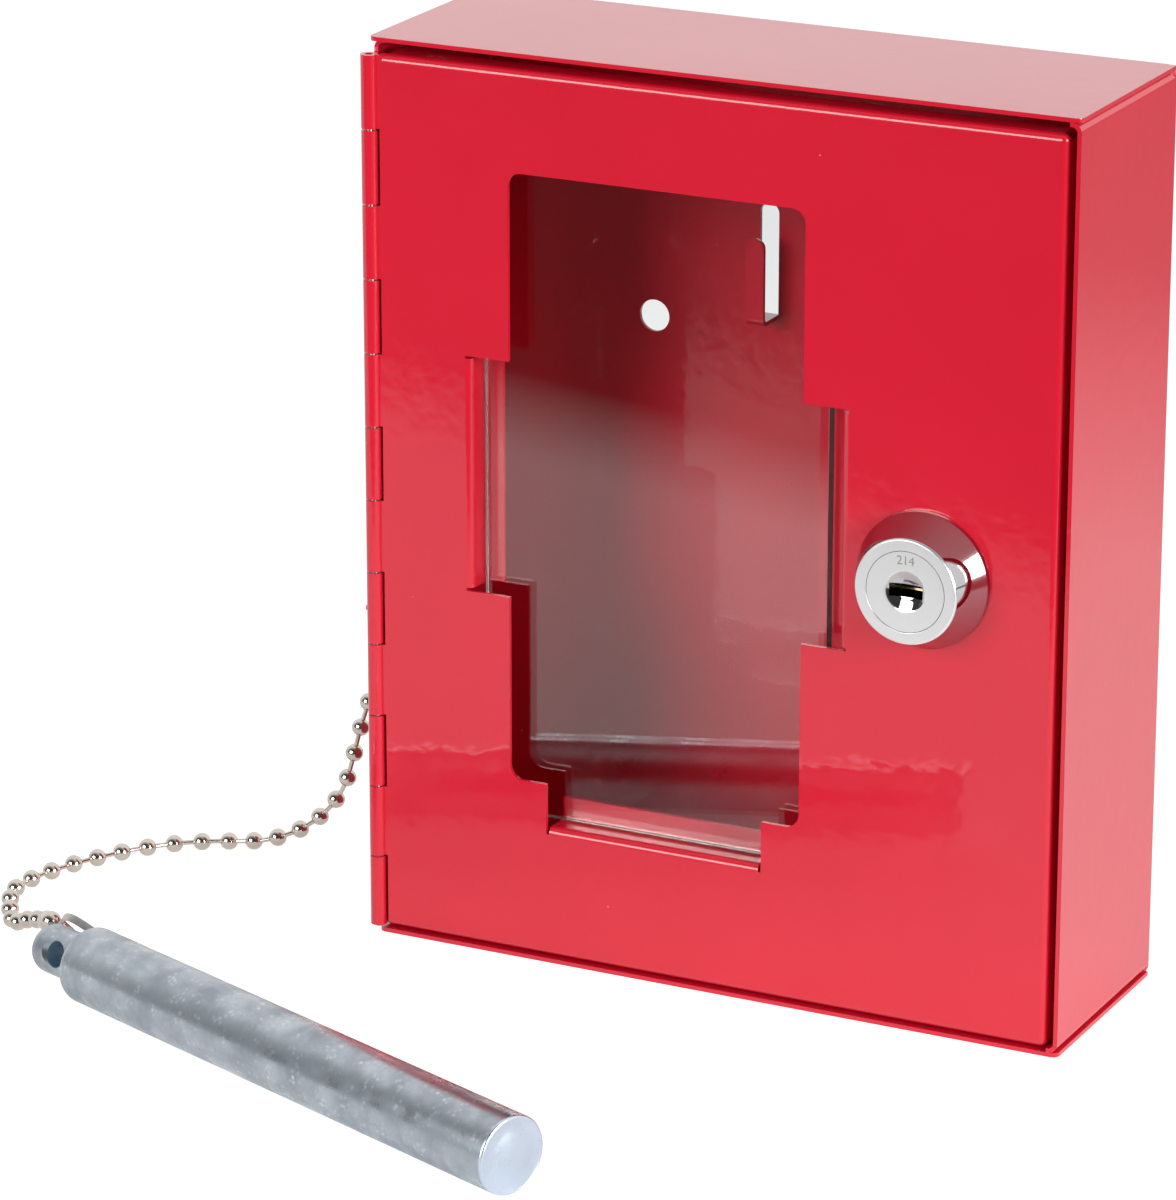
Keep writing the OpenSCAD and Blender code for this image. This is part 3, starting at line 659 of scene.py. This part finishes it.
# %% Red enamel
enamel, nodes, links, shader = new_finish("red_enamel", (0.62, 0.006, 0.027), 0.0, 0.3)
shader.inputs["Specular IOR Level"].default_value = 0.25
shader.inputs["Coat Weight"].default_value = 1.0
shader.inputs["Coat Roughness"].default_value = 0.05
place = coordinates(nodes)
tone = spots(nodes, links, place, 25, 3)
shade = two_colours(nodes, links, remap(nodes, links, tone, 0.3, 0.7, 0, 1),
                    (0.60, 0.005, 0.024), (0.66, 0.008, 0.030))
dust = nodes.new("ShaderNodeTexVoronoi")
dust.inputs["Scale"].default_value = 170
links.new(place, dust.inputs["Vector"])
near_dust = remap(nodes, links, dust.outputs["Distance"], 0.035, 0.02, 0, 1)
which = nodes.new("ShaderNodeSeparateColor")
links.new(dust.outputs["Color"], which.inputs["Color"])
some_dust = remap(nodes, links, which.outputs["Red"], 0.86, 0.87, 0, 0.6)
both = nodes.new("ShaderNodeMath")
both.operation = "MULTIPLY"
links.new(near_dust, both.inputs[0])
links.new(some_dust, both.inputs[1])
speckled = nodes.new("ShaderNodeMix")
speckled.data_type = "RGBA"
speckled.inputs["B"].default_value = (0.85, 0.28, 0.3, 1)
links.new(both.outputs["Value"], speckled.inputs["Factor"])
links.new(shade, speckled.inputs["A"])
links.new(speckled.outputs["Result"], shader.inputs["Base Color"])
wave = nodes.new("ShaderNodeBump")
wave.inputs["Strength"].default_value = 0.35
wave.inputs["Distance"].default_value = 1.2 * MM
links.new(spots(nodes, links, place, 14, 1), wave.inputs["Height"])
peel = bump(nodes, links, shader, spots(nodes, links, place, 330, 1.5), 0.25, 0.14 * MM,
            wave.outputs["Normal"])
links.new(peel, shader.inputs["Coat Normal"])
print("enamel nodes", len(nodes))

# %% [markdown]
# ### Plated and plain metals
#
# Chrome on the lock is a mirror on the cone, but its flat front ring is satin. The
# balls are nickel, which is warmer. The hammer is zinc plated: bluish, mottled and
# finely grained. The hidden fittings are plain zinc, drawn steel and brass.

# %% Chrome with a satin front
chrome, nodes, links, shader = new_finish("lock_chrome", (0.72, 0.72, 0.73), 1.0, 0.05)
place = coordinates(nodes)
axis = nodes.new("ShaderNodeSeparateXYZ")
links.new(place, axis.inputs["Vector"])
flat_front = remap(nodes, links, axis.outputs["Y"], -26.95 * MM, -27.08 * MM, 0, 1)
links.new(remap(nodes, links, flat_front, 0, 1, 0.04, 0.34), shader.inputs["Roughness"])
links.new(two_colours(nodes, links, flat_front, (0.56, 0.55, 0.56), (0.94, 0.95, 0.95)),
          shader.inputs["Base Color"])
bump(nodes, links, shader, spots(nodes, links, place, 900, 2), 0.025, 0.03 * MM)
print("chrome nodes", len(nodes))

# %% Nickel, zinc, steel and brass
nickel, nodes, links, shader = new_finish("chain_nickel", (0.66, 0.61, 0.54), 1.0, 0.1)
place = coordinates(nodes)
links.new(remap(nodes, links, spots(nodes, links, place, 400, 3), 0.35, 0.7, 0.05, 0.18),
          shader.inputs["Roughness"])
links.new(two_colours(nodes, links, spots(nodes, links, place, 250, 2),
                      (0.72, 0.67, 0.60), (0.56, 0.51, 0.44)), shader.inputs["Base Color"])

zinc, nodes, links, shader = new_finish("zinc_steel", (0.60, 0.62, 0.65), 1.0, 0.3)
place = coordinates(nodes)
links.new(two_colours(nodes, links, spots(nodes, links, place, 300, 4),
                      (0.66, 0.68, 0.71), (0.52, 0.54, 0.56)), shader.inputs["Base Color"])
bump(nodes, links, shader, spots(nodes, links, place, 1500, 2), 0.1, 0.03 * MM)

steel, nodes, links, shader = new_finish("pin_steel", (0.50, 0.48, 0.46), 1.0, 0.32)
place = coordinates(nodes)
links.new(remap(nodes, links, spots(nodes, links, place, 700, 3), 0.3, 0.7, 0.2, 0.42),
          shader.inputs["Roughness"])

brass, nodes, links, shader = new_finish("wafer_brass", (0.75, 0.55, 0.22), 1.0, 0.28)
place = coordinates(nodes)
bump(nodes, links, shader, spots(nodes, links, place, 1200, 2), 0.1, 0.03 * MM)
print("four metals")

# %% The hammer's mottled zinc
mottled, nodes, links, shader = new_finish("hammer_zinc", (0.62, 0.66, 0.70), 1.0, 0.4)
place = coordinates(nodes)
along = nodes.new("ShaderNodeMapping")
along.inputs["Location"].default_value = -HAMMER_PLACE
along.vector_type = "POINT"
links.new(place, along.inputs["Vector"])
turned = nodes.new("ShaderNodeMapping")
turned.inputs["Rotation"].default_value = (0, 0, -HAMMER_TURN)
links.new(along.outputs["Vector"], turned.inputs["Vector"])
cloud = spots(nodes, links, turned.outputs["Vector"], 160, 4, 0.6)
patch = two_colours(nodes, links, remap(nodes, links, cloud, 0.32, 0.68, 0, 1),
                    (0.31, 0.35, 0.39), (0.51, 0.56, 0.60))
fleck = nodes.new("ShaderNodeTexVoronoi")
fleck.inputs["Scale"].default_value = 1100
links.new(turned.outputs["Vector"], fleck.inputs["Vector"])
bright = remap(nodes, links, fleck.outputs["Distance"], 0.12, 0.5, 1, 0)
grain = nodes.new("ShaderNodeMix")
grain.data_type = "RGBA"
grain.inputs["B"].default_value = (0.74, 0.78, 0.81, 1)
few = nodes.new("ShaderNodeMath")
few.operation = "MULTIPLY"
links.new(bright, few.inputs[0])
links.new(remap(nodes, links, spots(nodes, links, turned.outputs["Vector"], 330, 2),
                0.5, 0.68, 0, 0.8), few.inputs[1])
links.new(few.outputs["Value"], grain.inputs["Factor"])
links.new(patch, grain.inputs["A"])
axis = nodes.new("ShaderNodeSeparateXYZ")
links.new(turned.outputs["Vector"], axis.inputs["Vector"])
faced = remap(nodes, links, axis.outputs["X"], BAR_LEN - 0.6 * MM, BAR_LEN - 0.3 * MM, 0, 1)
end_tone = nodes.new("ShaderNodeMix")
end_tone.data_type = "RGBA"
end_tone.inputs["B"].default_value = (0.62, 0.72, 0.83, 1)
links.new(faced, end_tone.inputs["Factor"])
links.new(grain.outputs["Result"], end_tone.inputs["A"])
links.new(end_tone.outputs["Result"], shader.inputs["Base Color"])
links.new(remap(nodes, links, cloud, 0.3, 0.7, 0.4, 0.2), shader.inputs["Roughness"])
groove = nodes.new("ShaderNodeMapping")
groove.inputs["Scale"].default_value = (6000, 300, 300)
links.new(turned.outputs["Vector"], groove.inputs["Vector"])
lines = bump(nodes, links, shader, spots(nodes, links, groove.outputs["Vector"], 1, 1),
             0.08, 0.02 * MM)
bump(nodes, links, shader, spots(nodes, links, turned.outputs["Vector"], 1300, 3),
     0.22, 0.05 * MM, lines)
print("hammer nodes", len(nodes))

# %% The bluish inside of the cross hole
hole_blue, nodes, links, shader = new_finish("hole_zinc", (0.22, 0.38, 0.52), 0.35, 0.45)
place = coordinates(nodes)
links.new(two_colours(nodes, links, spots(nodes, links, place, 700, 3),
                      (0.12, 0.24, 0.36), (0.36, 0.55, 0.68)), shader.inputs["Base Color"])

# %% [markdown]
# ### Glass
#
# Real glass bends light, but a renderer then blocks the lamps behind it. The usual
# way out is to let shadow and diffuse rays pass straight through, while the camera
# and mirror rays see true glass.


# %% Glass for the faces and the edges
def glass_finish(name, colour, rough):
    finish, nodes, links, shader = new_finish(name, colour, 0.0, rough)
    shader.inputs["IOR"].default_value = 1.62
    shader.inputs["Transmission Weight"].default_value = 1.0
    path = nodes.new("ShaderNodeLightPath")
    either = nodes.new("ShaderNodeMath")
    either.operation = "MAXIMUM"
    links.new(path.outputs["Is Shadow Ray"], either.inputs[0])
    links.new(path.outputs["Is Diffuse Ray"], either.inputs[1])
    through = nodes.new("ShaderNodeBsdfTransparent")
    through.inputs["Color"].default_value = (*colour, 1)
    mixed = nodes.new("ShaderNodeMixShader")
    links.new(either.outputs["Value"], mixed.inputs["Fac"])
    links.new(shader.outputs["BSDF"], mixed.inputs[1])
    links.new(through.outputs["BSDF"], mixed.inputs[2])
    links.new(mixed.outputs["Shader"], nodes["Material Output"].inputs["Surface"])
    return finish


glass = glass_finish("glass", (0.96, 0.985, 0.975), 0.0)
glass_edge = glass_finish("glass_edge", (0.55, 0.72, 0.66), 0.25)
print("glass ready")

# %% [markdown]
# ## Giving each piece its finish and its body
#
# One table says which finish a piece has, which slot of the record that is, and which
# body of the mechanism it moves with.

# %% Finishes, slots and bodies
numbering, nodes, links, shader = new_finish("faint_number", (0.36, 0.36, 0.37), 1.0, 0.45)
links.new(remap(nodes, links, spots(nodes, links, coordinates(nodes), 2500, 2),
                0.3, 0.7, 0.35, 0.6), shader.inputs["Roughness"])
PIECES = [
    (case, enamel, "red_enamel", "case"), (strike, enamel, "red_enamel", "case"),
    (lug, enamel, "red_enamel", "case"), (rivets, zinc, "zinc_steel", "case"),
    (hinge_pin, steel, "pin_steel", "case"), (upper_clasp, nickel, "chain_nickel", "case"),
    (door, enamel, "red_enamel", "door"), (lock_head, chrome, "lock_chrome", "door"),
    (toothed_washer, zinc, "zinc_steel", "door"), (nut, zinc, "zinc_steel", "door"),
    (pane, glass, "glass", "glass"), (plug, chrome, "lock_chrome", "lock_turning"),
    (number, numbering, "lock_chrome", "lock_turning"),
    (wafers, brass, "wafer_brass", "lock_turning"),
    (springs, steel, "pin_steel", "lock_turning"),
    (stop_washer, zinc, "zinc_steel", "lock_turning"),
    (cam, zinc, "zinc_steel", "lock_turning"),
    (cam_washer, zinc, "zinc_steel", "lock_turning"),
    (cam_screw, zinc, "zinc_steel", "lock_turning"),
    (lower_clasp, nickel, "chain_nickel", "chain_end"),
    (hammer, mottled, "hammer_zinc", "hammer"), (strap, steel, "pin_steel", "hammer")]
for piece, finish, slot, body in PIECES:
    piece.data.materials.clear()
    piece.data.materials.append(finish)
    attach(piece, body)
hammer.data.materials.append(hole_blue)
with_bar = Matrix.Rotation(HAMMER_TURN, 3, "Z")
hole_axis = with_bar @ Matrix.Rotation(HOLE_TILT, 3, "X") @ Vector((0, 0, 1))
hole_middle = HAMMER_PLACE + with_bar @ Vector((HOLE_AT, 0, 0))
for face in hammer.data.polygons:
    out = Vector(face.center) - hole_middle
    aside = (out - hole_axis * out.dot(hole_axis)).length
    face.material_index = 1 if aside < HOLE_R + NEAR and face.normal.dot(out) < 0 else 0
pane.data.materials.append(glass_edge)
for face in pane.data.polygons:
    face.material_index = 0 if abs(face.normal.y) > 0.95 else 1
print(len(PIECES), "pieces ride")

# %% The chain's finish, in place of the CAD chain
chain.data.materials.clear()
chain.data.materials.append(nickel)
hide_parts("ball_chain")
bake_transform(chain)

# %% [markdown]
# ## Floor, lamps and surroundings
#
# The ground is pure white. The floor is pale and matt where the box stands, and keeps
# the object's shadow. For the camera it is lifted a little, so that it reads as white.
# Past the table's front and rear edges its colour turns dark, a painted shade, and for
# mirror rays it glows, a painted reflection of a lit table; the camera sees both as white.
# The world is an even white, but mirrors see a darker room behind the camera, which
# gives chrome its contrast.

# %% Floor
TABLE_FRONT = Vector((0.270, -0.963, 0))
FRONT_WHITE, FRONT_END = 0.205, 0.25
REAR_WHITE, REAR_END = 0.22, 0.42
# Painted reflection: how brightly the floor glows in mirrors, on the table and past its edges.
TABLE_GLOW, DARK_GLOW = 0.38, 0.02
BEHIND_GLASS = 0.8

bpy.ops.object.select_all(action="DESELECT")
bpy.ops.mesh.primitive_plane_add(size=6, location=(0, 0, -0.15 * MM))
floor = settle(bpy.context.object)
floor.name = "floor"
floor_finish, nodes, links, shader = new_finish("floor_with_painted_reflections", (0.82, 0.82, 0.82), 0.0, 0.9)
shader.inputs["Specular IOR Level"].default_value = 0.0
place = coordinates(nodes)
# Painted shade: the floor's colour turns dark past the table's front edge and towards the rear.
reach = nodes.new("ShaderNodeVectorMath")
reach.operation = "DOT_PRODUCT"
reach.inputs[1].default_value = TABLE_FRONT
links.new(place, reach.inputs[0])
painted_dark_front = remap(nodes, links, reach.outputs["Value"], FRONT_WHITE, FRONT_END, 0, 1)
axis = nodes.new("ShaderNodeSeparateXYZ")
links.new(place, axis.inputs["Vector"])
painted_dark_rear = remap(nodes, links, axis.outputs["Y"], REAR_WHITE, REAR_END, 0, 0.7)
painted_dark_beyond = sum_of(nodes, links, "MAXIMUM", painted_dark_front, painted_dark_rear)
links.new(two_colours(nodes, links, painted_dark_beyond, (0.82, 0.82, 0.82), (0.05, 0.05, 0.05)),
          shader.inputs["Base Color"])
path = nodes.new("ShaderNodeLightPath")
mirrored_once = sum_of(nodes, links, "GREATER_THAN", path.outputs["Glossy Depth"], 0.5)
through = path.outputs["Is Transmission Ray"]
seen_ray = sum_of(nodes, links, "MAXIMUM", path.outputs["Is Camera Ray"],
                  sum_of(nodes, links, "MULTIPLY", through, remap(
                      nodes, links, mirrored_once, 0, 1, BEHIND_GLASS, 0)))
mirror_ray = sum_of(nodes, links, "MAXIMUM", path.outputs["Is Glossy Ray"],
                    sum_of(nodes, links, "MULTIPLY", through, mirrored_once))
# Painted reflection: mirror rays see the floor glow like a lit table; the camera sees it lifted
# to white.
painted_table_glow = remap(nodes, links, painted_dark_beyond, 0, 1, TABLE_GLOW, DARK_GLOW)
lift = sum_of(nodes, links, "MAXIMUM", sum_of(nodes, links, "MULTIPLY", mirror_ray, painted_table_glow),
              sum_of(nodes, links, "MULTIPLY", seen_ray,
                     remap(nodes, links, painted_dark_beyond, 0, 1, 0.72, 1.0)))
shader.inputs["Emission Color"].default_value = (1, 1, 1, 1)
links.new(lift, shader.inputs["Emission Strength"])
floor.data.materials.append(floor_finish)
print("floor ready")


# %% Lamps
def soft_lamp(name, place, target, size, power):
    bpy.ops.object.light_add(type="AREA", location=place)
    lamp = bpy.context.object
    lamp.name = name
    lamp.data.shape = "RECTANGLE"
    lamp.data.size, lamp.data.size_y = size
    lamp.data.energy = power
    lamp.rotation_euler = (Vector(target) - Vector(place)).to_track_quat("-Z", "Y").to_euler()
    return lamp


soft_lamp("key_left", (-0.65, -1.57, 0.6), (0, 0, 0.07), (1.0, 0.8), 18.5)
soft_lamp("fill_right", (1.447, -0.527, 0.45), (0, 0, 0.07), (0.65, 0.7), 22)
print("two lamps")

# %% Surroundings
world = bpy.data.worlds.new("white room")
world.use_nodes = True
bpy.context.scene.world = world
nodes, links = world.node_tree.nodes, world.node_tree.links
background = nodes["Background"]
path = nodes.new("ShaderNodeLightPath")
direction = nodes.new("ShaderNodeSeparateXYZ")
links.new(nodes.new("ShaderNodeTexCoord").outputs["Generated"], direction.inputs["Vector"])
room = remap(nodes, links, direction.outputs["Y"], -0.55, 0.05, 0.06, 1.0)
mirror_ray = sum_of(nodes, links, "GREATER_THAN", path.outputs["Glossy Depth"], 0.5)
seen = remap(nodes, links, mirror_ray, 0, 1, 1, 0)
seen = sum_of(nodes, links, "MAXIMUM", seen, sum_of(nodes, links, "MULTIPLY", mirror_ray, room))
soft_light = remap(nodes, links, path.outputs["Is Diffuse Ray"], 0, 1, 1, 0.3)
links.new(sum_of(nodes, links, "MULTIPLY", seen, soft_light), background.inputs["Strength"])
background.inputs["Color"].default_value = (1, 1, 1, 1)
bpy.context.scene.view_settings.view_transform = "Standard"
print("world ready")
